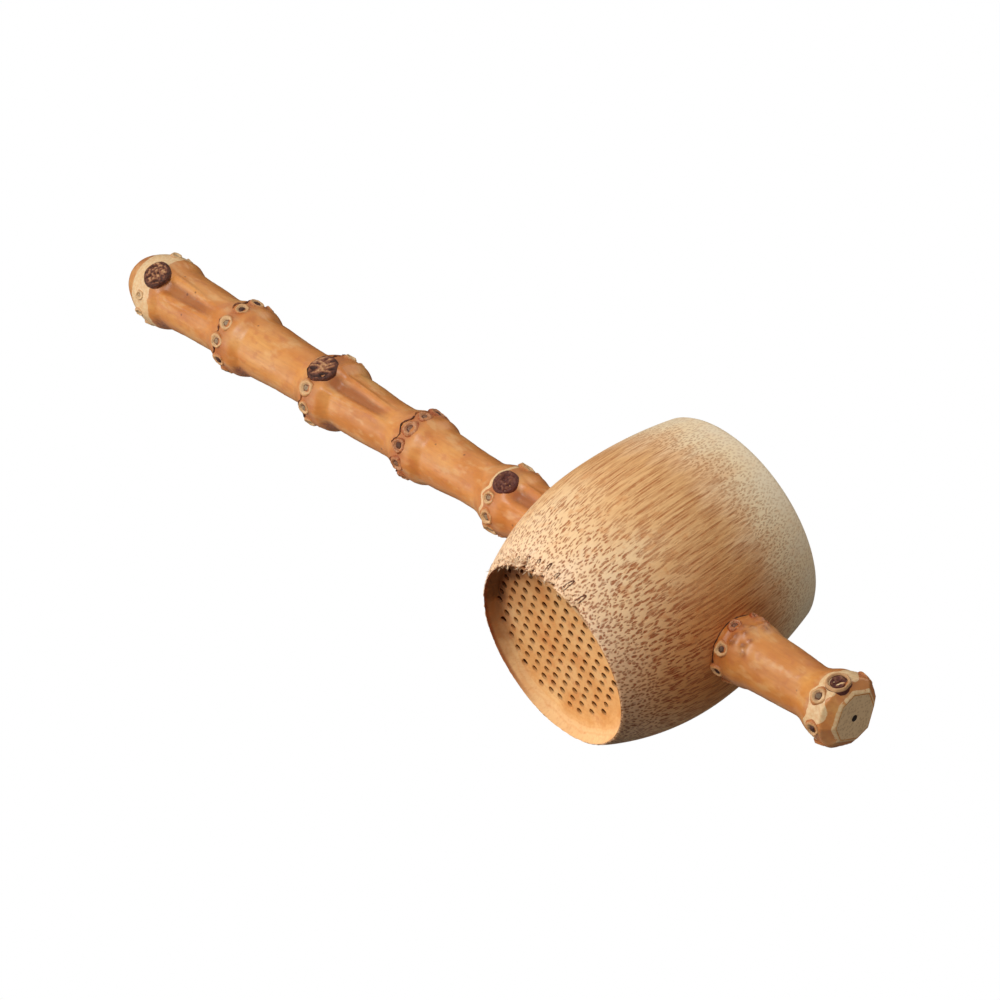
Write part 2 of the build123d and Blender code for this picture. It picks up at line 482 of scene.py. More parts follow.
def septum_material():
    """Bare inner bamboo, warm yellow-tan with faint growth rings; the drilled holes' walls and the
    side away from the light are painted dark as shade.
    """
    n = Surface("bare_septum")
    x, y, z = n.split(n.place)
    radius = n.vector("LENGTH", n.join(x, y, 0))
    patch = n.noise(n.place, 0.17, 4)
    grain = n.grain((2.2, 2.2, 0.5), 4)
    stain = n.noise(n.vector("ADD", n.place, (31, 7, 0)), 0.24, 3)
    n.base = n.colours(patch, (0.3, 222, 168, 106), (0.5, 234, 192, 134), (0.72, 242, 210, 158))
    n.cover(n.ramp(stain, 0.52, 0.72, 0, 0.45), (212, 140, 88))
    n.cover(n.ramp(radius, 17.6, 19.6, 0, 0.6), (250, 224, 180))
    wobble = n.plus(radius, n.ramp(patch, 0.3, 0.7, -0.4, 0.4))
    wave = n.math("SINE", n.times(wobble, 5.2))
    n.cover(n.times(n.ramp(wave, 0.2, 1), n.ramp(radius, 14.5, 17, 0, 0.22)), (222, 160, 96))
    n.cover(n.ramp(grain, 0.45, 0.75, 0, 0.22), (186, 118, 62))

    # Painted shade on the side away from the light, darkest in the corner that the foot's rim shades,
    # and a brown line along the foot's edge
    towards = n.vector("DOT_PRODUCT", n.place, (-0.79, -0.61, 0))
    shaded_side = n.plus(towards, n.ramp(stain, 0.3, 0.7, -1.5, 1.5))
    n.cover(n.ramp(shaded_side, 6, 16, 0, 0.34), (176, 104, 60))
    wall_shade = n.times(n.ramp(radius, 14.6, 18.6), n.ramp(shaded_side, 3, 15, 0, 0.6))
    n.cover(wall_shade, (132, 76, 48))
    n.cover(n.ramp(shaded_side, 14.8, 18.4, 0, 0.62), (78, 52, 40))
    line = n.times(n.ramp(z, 0.5, 1.1, 1, 0), n.ramp(x, -16, -8, 0.7, 0))
    n.cover(line, (150, 74, 40))
    n.cover(n.ramp(n.noise(n.place, 0.9, 4), 0.5, 0.68, 0, 0.16), (212, 140, 88))

    # A faint darker ring round each hole's edge, and painted shade darkening the holes' walls further
    # down
    hole = n.attribute("hole")
    n.cover(n.ramp(hole, 0.1, 0.5, 0, 0.22), (186, 112, 56))
    n.cover(n.ramp(hole, 0.52, 1, 0, 0.95), (72, 26, 8))
    n.bump(grain, 0.25, 0.1)
    return n.finish(0.55, specular=n.ramp(hole, 0.5, 1, 0.22, 0))


def fibre_material(name, scale, *stops, roughness=0.6, specular=0.3):
    """Fibre in patches of a few browns."""
    n = Surface(name)
    n.base = n.colours(n.noise(n.place, scale), *stops)
    return n.finish(roughness, specular)


def rhizome_material():
    """Polished rhizome: golden orange with soft long streaks, darker about each ring."""
    n = Surface("polished_rhizome")
    patch = n.grain((0.07, 0.16, 0.16))
    n.base = n.colours(patch, (0.3, 206, 124, 46), (0.5, 224, 144, 64), (0.7, 238, 172, 94))
    streak = n.grain((0.1, 1.6, 1.6), 4, 0.6)
    n.cover(n.ramp(streak, 0.42, 0.72, 0, 0.24), (190, 110, 48))
    n.cover(n.ramp(n.grain((0.35, 0.5, 0.5)), 0.5, 0.7, 0, 0.5), (204, 116, 58))
    n.cover(n.ramp(n.grain((0.22, 0.45, 0.45)), 0.52, 0.68, 0, 0.45), (240, 190, 128))
    n.cover(n.times(n.attribute("ring"), 0.6), (176, 94, 46))
    # Painted shade down in the groove that runs from each bud
    n.cover(n.times(n.attribute("groove_shade"), 0.6), (142, 72, 30))
    fleck = n.noise(n.place, 1.5, 4)
    spot = n.times(n.attribute("stain"), n.ramp(fleck, 0.36, 0.58, 0.45, 1))
    n.cover(n.times(spot, 0.85), (126, 58, 38))
    dot = n.cells(n.place, 1 / 5.5, 1)["Distance"]
    n.cover(n.ramp(dot, 0.035, 0.075, 0.7, 0), (104, 52, 30))

    # Sanded cream, the pared wood of the cut end, and painted shade down its pith hole
    edge = n.times(n.math("SUBTRACT", n.noise(n.place, 0.9, 4), 0.5), 0.8)
    pale = n.ramp(n.plus(n.attribute("pale"), edge), 0.4, 0.56)
    n.cover(pale, n.blend(n.ramp(fleck, 0.3, 0.75), (236, 190, 134), (248, 218, 170)))
    cut = n.attribute("cut")
    wood_cells = n.cells(n.vector("MULTIPLY", n.place, (0.3, 1, 1)), 1.7, 1)["Distance"]
    wood = n.blend(n.ramp(wood_cells, 0.15, 0.6), (222, 182, 136), (246, 210, 164))
    bare = n.ramp(cut, 0.4, 0.6)
    n.cover(bare, wood)
    # Painted shade: the pith hole's walls and floor are near-black
    n.cover(n.ramp(cut, 1.6, 1.9), (40, 22, 12))
    n.bump(n.plus(n.times(streak, 0.4), n.times(fleck, 0.3)), 0.16, 0.12)
    dull = n.math("MAXIMUM", pale, spot, bare)
    return n.finish(n.ramp(dull, 0, 1, 0.36, 0.6), specular=0.5, coat=0.8, coat_roughness=0.36)


def root_material():
    """Ground root end: dark or grey core, pale rim, and a skirt of the rhizome's colour."""
    n = Surface("root_scar")
    speck = n.noise(n.place, 3, 4)
    spot = n.plus(n.attribute("across"), n.times(n.math("SUBTRACT", speck, 0.5), 0.22))
    dark_core = n.colours(
        spot,
        (0, 84, 52, 40), (0.28, 66, 34, 26), (0.38, 112, 66, 44), (0.46, 226, 184, 136),
        (0.74, 214, 160, 106), (0.88, 206, 132, 76), (1, 168, 96, 54),
    )
    pale_core = n.colours(
        spot,
        (0, 140, 120, 96), (0.22, 176, 152, 122), (0.3, 104, 68, 48), (0.38, 134, 90, 62),
        (0.48, 236, 200, 152), (0.78, 220, 170, 116), (0.92, 204, 130, 74),
    )
    n.base = n.blend(n.ramp(n.attribute("tint"), 0.4, 0.6), dark_core, pale_core)
    rust = n.attribute("rust")
    n.cover(n.times(rust, n.ramp(speck, 0.35, 0.6, 0.55, 0.95)), (198, 134, 116), mode="MULTIPLY")
    n.cover(n.ramp(rust, -1, 0, 0.38, 0), (232, 204, 160))
    n.bump(speck, 0.7, 0.18)
    return n.finish(0.42, specular=0.45)


def bud_material():
    """Bud scar: torn fibre, near-black in its folds and tan on its ridges, partly its own tone and
    partly painted shade that follows the relief.
    """
    n = Surface("bud_scar")
    fold = n.noise(n.vector("MULTIPLY", n.place, (1, 1.5, 1.5)), 0.9, 4, 0.6)
    fine = n.noise(n.place, 2.6, 4)
    # Partly painted shade: the colour follows the scar's height, so the folds are dark and the ridges
    # tan
    level = n.plus(n.times(n.attribute("ridge"), 0.42), n.times(fold, 0.33), n.times(fine, 0.25))
    n.base = n.colours(
        level,
        (0.34, 58, 29, 21), (0.43, 98, 53, 38), (0.51, 134, 82, 58), (0.6, 176, 122, 84),
        (0.72, 216, 168, 122),
    )
    n.cover(n.times(n.attribute("dusky"), 0.72), (92, 42, 38))
    n.cover(n.ramp(n.attribute("rim"), 0.3, 0.6), (214, 166, 118))
    n.bump(n.plus(fold, n.times(fine, 0.4)), 0.8, 0.35)
    return n.finish(0.5, specular=0.4)


# ---- bowl


def arc_radius(belly, end_radius, end_height, height):
    """Radius on an arc that is upright at the belly height and ends at a point."""
    rise = end_height - BELLY_HEIGHT
    drop = belly - end_radius
    arc = (rise * rise + drop * drop) / (2 * drop)
    return belly - arc + sqrt(max(arc * arc - (height - BELLY_HEIGHT) ** 2, 0))


def outer_radius(height):
    if height < BELLY_HEIGHT:
        return arc_radius(BELLY_RADIUS, FOOT_RADIUS, 0, height)
    return arc_radius(BELLY_RADIUS, MOUTH_RADIUS, BOWL_HEIGHT, height)


def inner_radius(height):
    belly = BELLY_RADIUS - BELLY_WALL
    if height < BELLY_HEIGHT:
        return arc_radius(belly, SEPTUM_RADIUS, SEPTUM_HIGH, height)
    return arc_radius(belly, MOUTH_RADIUS - MOUTH_WALL, BOWL_HEIGHT, height)


def bowl_section():
    """(radius, height) round the wall: up the outside, over the mouth, down to the foot ring."""
    points = []
    rows = 150
    shoulder = BOWL_HEIGHT - RIM_ROUND
    for height in (mix(0.25, shoulder, i / rows) for i in range(rows + 1)):
        points.append((outer_radius(height), height))
    outside = MOUTH_RADIUS - RIM_ROUND
    inside = MOUTH_RADIUS - MOUTH_WALL + RIM_ROUND
    for i in range(1, 6):
        away, up = spin(i * 15)
        points.append((outside + RIM_ROUND * away, shoulder + RIM_ROUND * up))
    for i in range(1, 6):
        points.append((mix(outside, inside, i / 6), BOWL_HEIGHT))
    for i in range(6):
        away, up = spin(90 + i * 18)
        points.append((inside + RIM_ROUND * away, shoulder + RIM_ROUND * up))
    inner_rows = 44
    for i in range(1, inner_rows + 1):
        height = mix(BOWL_HEIGHT - 1.2, SEPTUM_HIGH, i / inner_rows)
        points.append((inner_radius(height), height))
    points.append((SEPTUM_RADIUS, (SEPTUM_LOW + SEPTUM_HIGH) / 2))
    for i in range(7):
        points.append((mix(SEPTUM_RADIUS, FOOT_EDGE, i / 6), mix(SEPTUM_LOW, 0.2, i / 6)))
    points.append((FOOT_EDGE + 0.1, 0))
    points.append((FOOT_RADIUS - 0.1, 0))
    return points


def foot_wear(angle):
    """How far the foot's edge is worn back at an angle: a soft wave, and nicks where it tore."""
    wave = 0.12 + 0.16 * rough_round(angle, 0, 2.2, 4)
    nick = max(rough_round(angle, 0, 17, 2) - 0.05, 0)
    nick += 0.6 * max(rough_round(angle, 0, 34, 7), 0)
    torn = smooth(175, 190, angle) * (1 - smooth(300, 316, angle))
    return max(wave, 0) + nick * mix(0.25, 2.4, torn)


def shape_bowl(x, y, height):
    """The natural culm's slight oval and lean."""
    t = height / BOWL_HEIGHT
    return Vector((x + BOWL_LEAN_X * t, y * BOWL_OVAL + BOWL_LEAN_Y * t, height))


def worn(radius, angle, height):
    """A point of the bowl by its radius, angle and height, with the foot's edge worn."""
    side, back = spin(angle % 360)
    lift = foot_wear(angle % 360) * (1 - smooth(0, 2.2, height)) if height < 2.2 else 0
    return shape_bowl(radius * side, radius * back, height + lift)


def build_bowl(material):
    section = bowl_section()
    angles = [360 * j / BOWL_COLUMNS for j in range(BOWL_COLUMNS)]
    shape = Shape()
    verts = [worn(radius, angle, height) for radius, height in section for angle in angles]
    shape.add(verts, ring_faces(len(section), BOWL_COLUMNS, closed_rows=True))
    shape.finish("bowl_wall", material, "culm", "bowl_shell")


def hole_places():
    """The staggered rows of drilled holes, each a little out of line."""
    picker = random.Random(11)
    ahead, aside = spin(HOLE_ROW_TURN)
    places = []
    for row in range(-9, 10):
        for step in range(-14, 15):
            along = step * HOLE_PITCH + row * HOLE_ROW_SHIFT
            across = row * HOLE_ROW_SPACING
            x = HOLE_START[0] + along * ahead - across * aside
            y = HOLE_START[1] + along * aside + across * ahead
            inside = hypot(x - HOLE_FIELD[0], y - HOLE_FIELD[1]) < HOLE_FIELD_RADIUS
            if inside and hypot(x, y) < SEPTUM_RADIUS - 1:
                size = HOLE_RADIUS * picker.uniform(0.92, 1.08)
                places.append((x + picker.uniform(-0.12, 0.12), y + picker.uniform(-0.12, 0.12), size))
    return places


def septum_height(x, y):
    """Underside of the septum: nearly level, with a fillet that runs down the foot's wall."""
    radius = hypot(x, y)
    reach = mix(1.6, 4.6, smooth(-0.7, 1, cos(atan2(y, x) - radians(65))))
    t = min(max((radius - (FOOT_EDGE - reach)) / reach, 0), 1)
    drop = (SEPTUM_LOW - 0.12) * (1 - sqrt(max(1 - t**2.4, 0)))
    uneven = 0.1 * rough(x, y, 0, 0.22, 5) * (1 - t)
    return SEPTUM_LOW + uneven - drop


def ring_points(x, y, radius, count):
    turns = [2 * pi * k / count for k in range(count)]
    return [Vector((x + radius * cos(turn), y + radius * sin(turn))) for turn in turns]


def septum_plan(places):
    """The septum seen flat: its points, and the cells between them, with the holes left out."""
    points, edges = [], []

    def loop(ring):
        start = len(points)
        points.extend(ring)
        count = len(ring)
        edges.extend((start + k, start + (k + 1) % count) for k in range(count))

    loop(ring_points(0, 0, FOOT_EDGE, 240))
    for x, y, size in places:
        loop(ring_points(x, y, size, HOLE_SIDES))
    for x, y, size in places:
        for halo in (size + 0.1, size + 0.34):
            ring = ring_points(x, y, halo, HOLE_SIDES)
            points.extend(p for p in ring if p.length < FOOT_EDGE - 0.15)
    for step in range(1, 12):
        points.extend(ring_points(0, 0, FOOT_EDGE - 0.42 * step**1.15, 160))
    for i in range(-12, 13):
        for j in range(-12, 13):
            spot = Vector((i * 1.4 + 0.3, j * 1.4 + 0.2))
            clear = all(hypot(spot.x - x, spot.y - y) > size + 0.5 for x, y, size in places)
            if spot.length < FOOT_EDGE - 6 and clear:
                points.append(spot)
    flat, _, cells = delaunay_2d_cdt(points, edges, [], 0, 1e-5)[:3]

    def is_open(cell):
        middle = sum((flat[v] for v in cell), Vector((0, 0))) / len(cell)
        return any(hypot(middle.x - x, middle.y - y) < size * 0.999 for x, y, size in places)

    return flat, [cell for cell in cells if not is_open(cell)]


def build_septum(material):
    """The drilled septum as a plate: its two faces, the walls of its holes and its edge."""
    places = hole_places()
    flat, cells = septum_plan(places)
    count = len(flat)

    def hole_share(x, y):
        """1 inside a hole's edge, 0.5 on it, falling to 0 a little outside."""
        gap = min(hypot(x - hx, y - hy) - size for hx, hy, size in places)
        return 0.5 * (1 - smooth(0, 0.34, gap)) if gap > -0.02 else 1

    under = [shape_bowl(p.x, p.y, septum_height(p.x, p.y)) for p in flat]
    over = [shape_bowl(p.x * 0.985, p.y * 0.985, SEPTUM_HIGH) for p in flat]
    share = [hole_share(p.x, p.y) for p in flat]
    shape = Shape("hole")
    shape.add(under + over, turned_over(cells), share + share)
    shape.faces += [tuple(v + count for v in cell) for cell in cells]
    used = dict.fromkeys((a, b) for cell in cells for a, b in zip(cell, cell[1:] + cell[:1]))
    border = [(a, b) for a, b in used if (b, a) not in used]
    walls = {}

    def wall_share(spot, level):
        """How much painted shade a hole's wall gets: it darkens sooner at the -Y side, and only deeper
        down at the +Y side, where the light reaches in.
        """
        nearest = min(places, key=lambda place: hypot(spot.x - place[0], spot.y - place[1]))
        lit = smooth(-0.2, 0.6, (spot.y - nearest[1]) / nearest[2])
        return mix(0.36, 1, smooth(0, 0.16, level - 0.16 * lit))

    def wall_vertex(v, level):
        """Points down a hole's wall, apart from the faces' own so that the edge stays crisp."""
        if (v, level) not in walls:
            walls[(v, level)] = len(shape.verts)
            shape.note(under[v].lerp(over[v], level), wall_share(flat[v], level))
        return walls[(v, level)]

    levels = (0, 0.06, 0.12, 0.18, 0.24, 0.3, 0.6, 1)
    for a, b in border:
        for low, high in zip(levels, levels[1:]):
            corners = ((a, low), (a, high), (b, high), (b, low))
            shape.faces.append(tuple(wall_vertex(v, level) for v, level in corners))
    shape.finish("drilled_septum", material, "septum", "strainer_septum")


def sliver(start, path, width, side):
    """A thin tapered strip of three-sided section that follows a path from a start point."""
    verts, faces = [], []
    count = len(path)
    for i, step in enumerate(path):
        t = i / (count - 1)
        half = width * (1 - t) ** 0.6 * (0.6 + 0.4 * sin(3 * t + 1)) + 0.012
        middle = start + step
        lift = step.normalized().cross(side) * half * 0.6
        verts += [middle + side * half, middle - side * half, middle + lift]
    for i in range(count - 1):
        for k in range(3):
            a, b = 3 * i + k, 3 * i + (k + 1) % 3
            faces.append((a, b, b + 3, a + 3))
    faces.append((0, 2, 1))
    faces.append((3 * count - 3, 3 * count - 2, 3 * count - 1))
    return verts, faces


def hairpin(points, away, half):
    """A flat ribbon that follows a bent row of points on a surface, slightly crowned."""
    verts, faces = [], []
    last = len(points) - 1
    for i, middle in enumerate(points):
        along = (points[min(i + 1, last)] - points[max(i - 1, 0)]).normalized()
        cross = along.cross(away).normalized() * half * (0.5 + 0.5 * sin(pi * i / last))
        verts += [middle - cross, middle + away * 0.05, middle + cross]
    for i in range(last):
        a = 3 * i
        faces += [(a, a + 1, a + 4, a + 3), (a + 1, a + 2, a + 5, a + 4)]
    return verts, faces


def directions(angle):
    """Outward and sideways at an angle round the foot."""
    x, y = spin(angle)
    return Vector((x, y, 0)), Vector((-y, x, 0))


def build_foot_fibres(pale, brown, dark):
    """Torn fibres round the foot's edge: pale and brown curls, dark slivers, and open loops; the dark
    slivers and loops, and partly the brown curls, are painted shade.
    """
    picker = random.Random(5)
    draw = picker.uniform
    pale_parts, brown_parts, dark_parts = Shape(), Shape(), Shape()
    for k in range(420):
        angle = picker.triangular(210, 304, 252)
        away, side = directions(angle)
        length = draw(0.8, 2.6)
        curl = draw(-0.6, 0.6)
        if k % 2:
            start = worn(FOOT_RADIUS - draw(0, 0.6), angle, draw(-0.1, 0.5))
            aim = away * draw(-0.9, 0.8) + side * draw(-0.9, 0.9)
            aim.z += draw(-0.9, 0.2)
        else:
            height = picker.triangular(0.2, 3.2, 0.4)
            start = worn(outer_radius(height) - 0.02, angle, height)
            aim = away * draw(0.15, 0.55) + side * draw(-0.8, 0.8)
            aim.z += draw(-0.9, 0.9)
        shares = [i / 6 for i in range(1, 7)]
        path = [(aim * t + side * curl * t * t + away * 0.1 * t) * length * 0.6 for t in shares]
        # Every fifth curl is brown: partly the fibre's own colour, partly painted shade between the
        # pale curls
        parts = pale_parts if k % 5 else brown_parts
        parts.add(*sliver(start, path, draw(0.08, 0.24), side))
    # Painted shade: dark slivers for the shaded gaps under lifted fibres
    for _ in range(14):
        angle = draw(180, 212)
        away, side = directions(angle)
        start = worn(FOOT_RADIUS - 0.25, angle, 0.15)
        length = draw(1, 2.6)
        aim = side * draw(-0.4, 0.4) - away * 0.45 + Vector((0, 0, -0.3))
        aim += away * draw(0, 0.6)
        path = [(aim * t + Vector((0, 0, 0.25 * t * t))) * length for t in (0.15, 0.4, 0.7, 1)]
        dark_parts.add(*sliver(start, path, draw(0.07, 0.13), side))
    # Painted shade: dark loops for the shaded cracks round lifted fibre tongues
    for k in range(11):
        angle = (249 + 8.2 * k if k < 7 else 180 + 11 * (k - 7)) + draw(-1.8, 1.8)
        away, side = directions(angle)
        low = draw(0.2, 1.3)
        length = draw(1.3, 2.4)
        half = draw(0.28, 0.44)
        slant = draw(-0.2, 0.6)
        points = []
        for i in range(13):
            across, up = spin(15 * i)
            height = low + length * up**0.7
            middle = worn(outer_radius(height) + 0.04, angle, height)
            points.append(middle + side * (half * across + slant * up))
        dark_parts.add(*hairpin(points, away, draw(0.11, 0.17)))
    pale_parts.finish("foot_torn_fibres", pale, "culm")
    brown_parts.finish("foot_brown_fibres", brown, "culm")
    dark_parts.finish("foot_shade_slits", dark, "culm")


# ---- rhizome sticks


class Ring:
    """One node of a rhizome, as the CAD places it."""

    def __init__(self, bud, roots):
        self.bud_station, self.bud_angle, _, self.bud_radius = bud
        self.roots = [root[1] for root in roots]
        self.station = sum(root[0] for root in roots) / len(roots)
        self.radius = sum(root[2] for root in roots) / len(roots)


class Stick:
    """One rhizome: where its rings, roots and buds are, read from the CAD nodes."""

    def __init__(self, name, node, waists, buried=False):
        low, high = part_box(node)
        self.name = name
        self.node = node
        self.low, self.high = low.x / MM, high.x / MM
        self.axis = (low.z + high.z) / 2 / MM
        self.waists = waists
        roots = [self.polar(*found) for found in islands(node + "_roots")]
        buds = [self.polar(*found) for found in islands(node + "_buds")]
        self.rings = [Ring(bud, [r for r in roots if abs(r[0] - bud[0]) < 3]) for bud in buds]
        self.buried = self.rings[0] if buried else None
        if buried:
            self.buried.station -= BURIED_SHIFT
            self.buried.bud_station -= BURIED_SHIFT
        self.bumps = []

    def polar(self, centre, half):
        """A CAD scar's station, angle, distance from the stick's axis and radius."""
        rise = centre.z - self.axis
        angle = degrees(atan2(rise, centre.y)) % 360
        return (centre.x, angle, hypot(centre.y, rise), half)

    def waist(self, x):
        """Radius without the rings: each internode narrows towards the next ring."""
        index = sum(1 for ring in self.rings if ring.station < x)
        if index == 0:
            return self.waists[0]
        start = self.rings[index - 1].station
        end = self.rings[index].station if index < len(self.rings) else start + 30
        after = self.waists[min(index, len(self.waists) - 1)]
        return mix(after + 0.75, after, smooth(start + 2, end - 6, x))

    def ring_lift(self, x):
        """How far the surface swells at the nearest ring, and how near that ring is."""
        lift, near = 0, 0
        for ring in self.rings:
            t = x - ring.station
            rise = smooth(-RING_FLARE, -1.2, t) ** 1.25
            if ring is self.buried:
                rise = mix(0.35, 1, smooth(-3.2, -0.6, t))
            fall = 1 - smooth(2.4, RING_FALL, t) ** 1.2
            amount = rise if t < 0 else fall
            lift = max(lift, amount * (ring.radius - self.waist(x)))
            near = max(near, bell(t, 2.4))
        return lift, near

    def groove(self, x, angle):
        """The channel that runs from each bud towards the next ring, with its two ridges."""
        depth = 0
        for ring in self.rings:
            t = x - ring.station
            lead = ring.bud_station - ring.station
            along = smooth(lead + 1, lead + 5, t) * (1 - smooth(14, 26, t))
            if along == 0:
                continue
            off = apart(angle, ring.bud_angle + 6)
            width = mix(1, 0.74, smooth(4, 22, t))
            channel = 1 - smooth(7 * width, 19 * width, off)
            ridge = bell(off - 24 * width, 5.5)
            depth += along * (GROOVE_RIDGE * ridge - GROOVE_DEPTH * channel)
        return depth

    def collar(self, ring, angle):
        """Station of the leaf sheath's edge: it loops round the root scars and the bud."""
        reach = 1.15
        for root in ring.roots:
            reach = max(reach, mix(1.15, 2.25, bell(apart(angle, root), 9.5)))
        lead = ring.bud_station - ring.station
        around = bell(apart(angle, ring.bud_angle), 24, 4)
        reach = max(reach, (ring.bud_radius + 0.35 - lead) * around)
        return ring.station - reach + 0.22 * rough_round(angle, ring.station, 4)

    def radius(self, x, angle):
        """Radius of the skin at a station and angle."""
        side, up = spin(angle)
        uneven = 0.24 * rough(x * 0.5, 4 * side, 4 * up, 0.25, self.axis)
        uneven += 0.05 * rough(x, 7 * side, 7 * up, 0.9, self.axis)
        for ring in self.rings:
            if abs(x - ring.station) < 6:
                near = bell(x - ring.station - 0.6, 2.3)
                knots = max(bell(apart(angle, root), 11) for root in ring.roots)
                past = x - self.collar(ring, angle)
                uneven += near * 0.22 * (knots - 0.4)
                uneven += 0.22 * (smooth(-0.5, 0.5, past) - 0.5) * bell(past, 1.3)
        for station, bump_angle, size, height in self.bumps:
            uneven += height * bell(hypot(x - station, skin_arc(angle, bump_angle)), size)
        return self.waist(x) + self.ring_lift(x)[0] + self.groove(x, angle) + uneven

    def point(self, x, angle, radius):
        side, up = spin(angle)
        return Vector((x, radius * side, self.axis + radius * up))


def skin_arc(a, b):
    """Length round a stick's skin between two angles."""
    return radians(apart(a, b)) * ARC_RADIUS


def handle_stations(stick):
    """Stations along the handle with the share of its full radius there: dome, then the rest."""
    dome_start = stick.low + TIP_WEAR + DOME_LENGTH
    stations = []
    for i in range(1, 41):
        along, share = (value ** (2 / DOME_POWER) for value in spin(90 * i / 41))
        stations.append((dome_start - DOME_LENGTH * along, share))
    end = -BELLY_RADIUS + 3.5
    rows = int((end - dome_start) / 0.34)
    return stations + [(mix(dome_start, end, i / rows), 1) for i in range(rows + 1)]


def stub_stations(stick):
    """Stations of the stub from inside the wall out to where its end is cut."""
    start = BELLY_RADIUS - 4
    rows = int((stick.high - start) / 0.24)
    return [(mix(start, stick.high, i / rows), 1) for i in range(rows + 1)]


def faceted(x, angle, radius, end):
    """The radius left when the end's corner is pared away in a few flat strokes."""
    least = radius
    for facet in (14, 62, 101, 152, 196, 238, 283, 331):
        lean = spin(apart(angle, facet))[0]
        if lean > 0.3:
            least = min(least, (4.85 + 0.22 * sin(facet) + 1.15 * (end - x)) / lean)
    return least


def cut_face(centre, edge):
    """Points and cut marks of the stub's flat end: in from its edge, then down the pith hole."""
    for share in (0.97, 0.9, 0.75, 0.55, 0.35, 0.2):
        for vert in edge:
            yield centre.lerp(vert, share), 0.32 if share > 0.92 else 1
    for depth, radius, mark in ((0, 0.78, 1), (0.12, 0.7, 2), (1.6, 0.6, 2)):
        for j in range(STICK_COLUMNS):
            side, up = spin(360 * j / STICK_COLUMNS)
            yield centre + Vector((-depth, radius * side, radius * up)), mark


def build_skin(stick, stations, masks, material, cut_end=False):
    """The skin of one rhizome, with masks for its rings, pale parts, stains, cut face and the painted
    shade in its grooves.
    """
    shape = Shape("ring", "pale", "stain", "cut", "groove_shade")
    for x, share in stations:
        near = stick.ring_lift(x)[1]
        for j in range(STICK_COLUMNS):
            angle = 360 * j / STICK_COLUMNS
            radius = share * stick.radius(x, angle)
            cut = 0
            if cut_end:
                pared = faceted(x, angle, radius, stick.high)
                cut = 0.32 if pared < radius - 0.1 else 0
                radius = pared
            # How much painted shade the skin gets down in a bud's groove
            groove_shade = smooth(0, 0.85, -stick.groove(x, angle))
            shape.note(stick.point(x, angle, radius), near, *masks(x, angle), cut, groove_shade)
    if cut_end:
        centre = Vector((stick.high, 0.1, stick.axis - 0.1))
        for vert, mark in cut_face(centre, shape.verts[-STICK_COLUMNS:]):
            shape.note(vert, 0, 0, 0, mark, 0)
    rows = len(shape.verts) // STICK_COLUMNS
    faces = ring_faces(rows, STICK_COLUMNS)
    tip_pale = 0 if cut_end else masks(stick.low, 0)[0]
    for row, pale, cut in ((0, tip_pale, 0), (rows - 1, 0, 2 if cut_end else 0)):
        start = row * STICK_COLUMNS
        middle = len(shape.verts)
        ends = shape.verts[start : start + STICK_COLUMNS]
        shape.note(sum(ends, Vector()) / STICK_COLUMNS, 0, pale, 0, cut, 0)
        for j in range(STICK_COLUMNS):
            a, b = start + j, start + (j + 1) % STICK_COLUMNS
            faces.append((middle, a, b) if row else (middle, b, a))
    shape.faces = turned_over(faces)
    shape.finish(stick.name + "_rhizome", material, "rhizome", stick.node)


def lathe(centre, normal, profile, segments, wobble, seed):
    """Points, faces and share-across values of a small turned boss that stands on a skin."""
    side = normal.cross(Vector((1, 0, 0))).normalized()
    along = side.cross(normal).normalized()
    verts, across = [], []
    widest = profile[-1][0]
    for distance, height in profile:
        for j in range(segments):
            ahead, aside = spin(360 * j / segments)
            step = distance * (1 + wobble * rough(ahead, aside, distance, 1.3, seed))
            lift = height + 0.5 * wobble * rough(ahead * 2, aside * 2, distance, 1.1, seed + 7)
            verts.append(centre + along * step * ahead + side * step * aside + normal * lift)
            across.append(distance / widest)
    faces = ring_faces(len(profile), segments)
    last = len(verts)
    verts.append(centre + normal * profile[0][1])
    across.append(0)
    faces += [(last, (j + 1) % segments, j) for j in range(segments)]
    return verts, faces, across


# Half of a root scar cut through: (distance from its middle, height)
ROOT_PROFILE = (
    (0.2, 0.34), (0.42, 0.3), (0.6, 0.18), (0.74, 0.02), (0.86, 0.08), (0.98, 0.3), (1.14, 0.42),
    (1.32, 0.42), (1.5, 0.3), (1.66, 0.06), (1.82, -0.4),
)


def build_roots(stick, material, rusty, grey):
    """All root scars of one stick as one piece.

    rusty gives how red a scar is, or -1 where it is sanded pale, by the number of its ring and
    its angle. The rings numbered in grey have grey cores.
    """
    picker = random.Random(8)
    shape = Shape("across", "tint", "rust")
    for index, ring in enumerate(stick.rings):
        for angle in ring.roots:
            rust = rusty(index, angle)
            small = abs(rust) == 1
            shift, size = picker.uniform(-0.55, 0.55), picker.uniform(0.84, 1.18)
            tint, seed = picker.uniform(0, 1), picker.uniform(0, 50)
            if index in grey or small:
                tint = max(tint, 0.8)
            if small:
                size *= 0.72
            x = ring.station + shift
            normal = Vector((0.18, *spin(angle))).normalized()
            centre = stick.point(x, angle, stick.radius(x, angle) - 0.08)
            core = mix(1.6, 0.4, tint)
            profile = [(d * size, h * (1 if d > 0.9 else core)) for d, h in ROOT_PROFILE]
            verts, faces, across = lathe(centre, normal, profile, 32, 0.24, seed)
            shape.add(verts, faces, across, [tint] * len(verts), [rust] * len(verts))
    shape.finish(stick.name + "_root_scars", material, "root_scar", stick.node + "_roots")


def bud_profile(reach, core, rimmed):
    """(distance, height) of a bud scar: a low dome, a gap round it, a collar and the outer edge."""
    profile = []
    for i in range(1, 31):
        share = i / 30
        dome = 0.55 * sqrt(max(1 - (share / 1.02) ** 2, 0)) * (0.4 if rimmed else 1)
        gap = -0.35 * bell(share - core, 0.045)
        collar = 0.34 * bell(share - (core + 1) / 2, 0.09)
        drop = -1.1 * smooth(0.9, 1.02, share)
        profile.append((reach * share, 0.12 + dome + gap + collar + drop))
    return profile


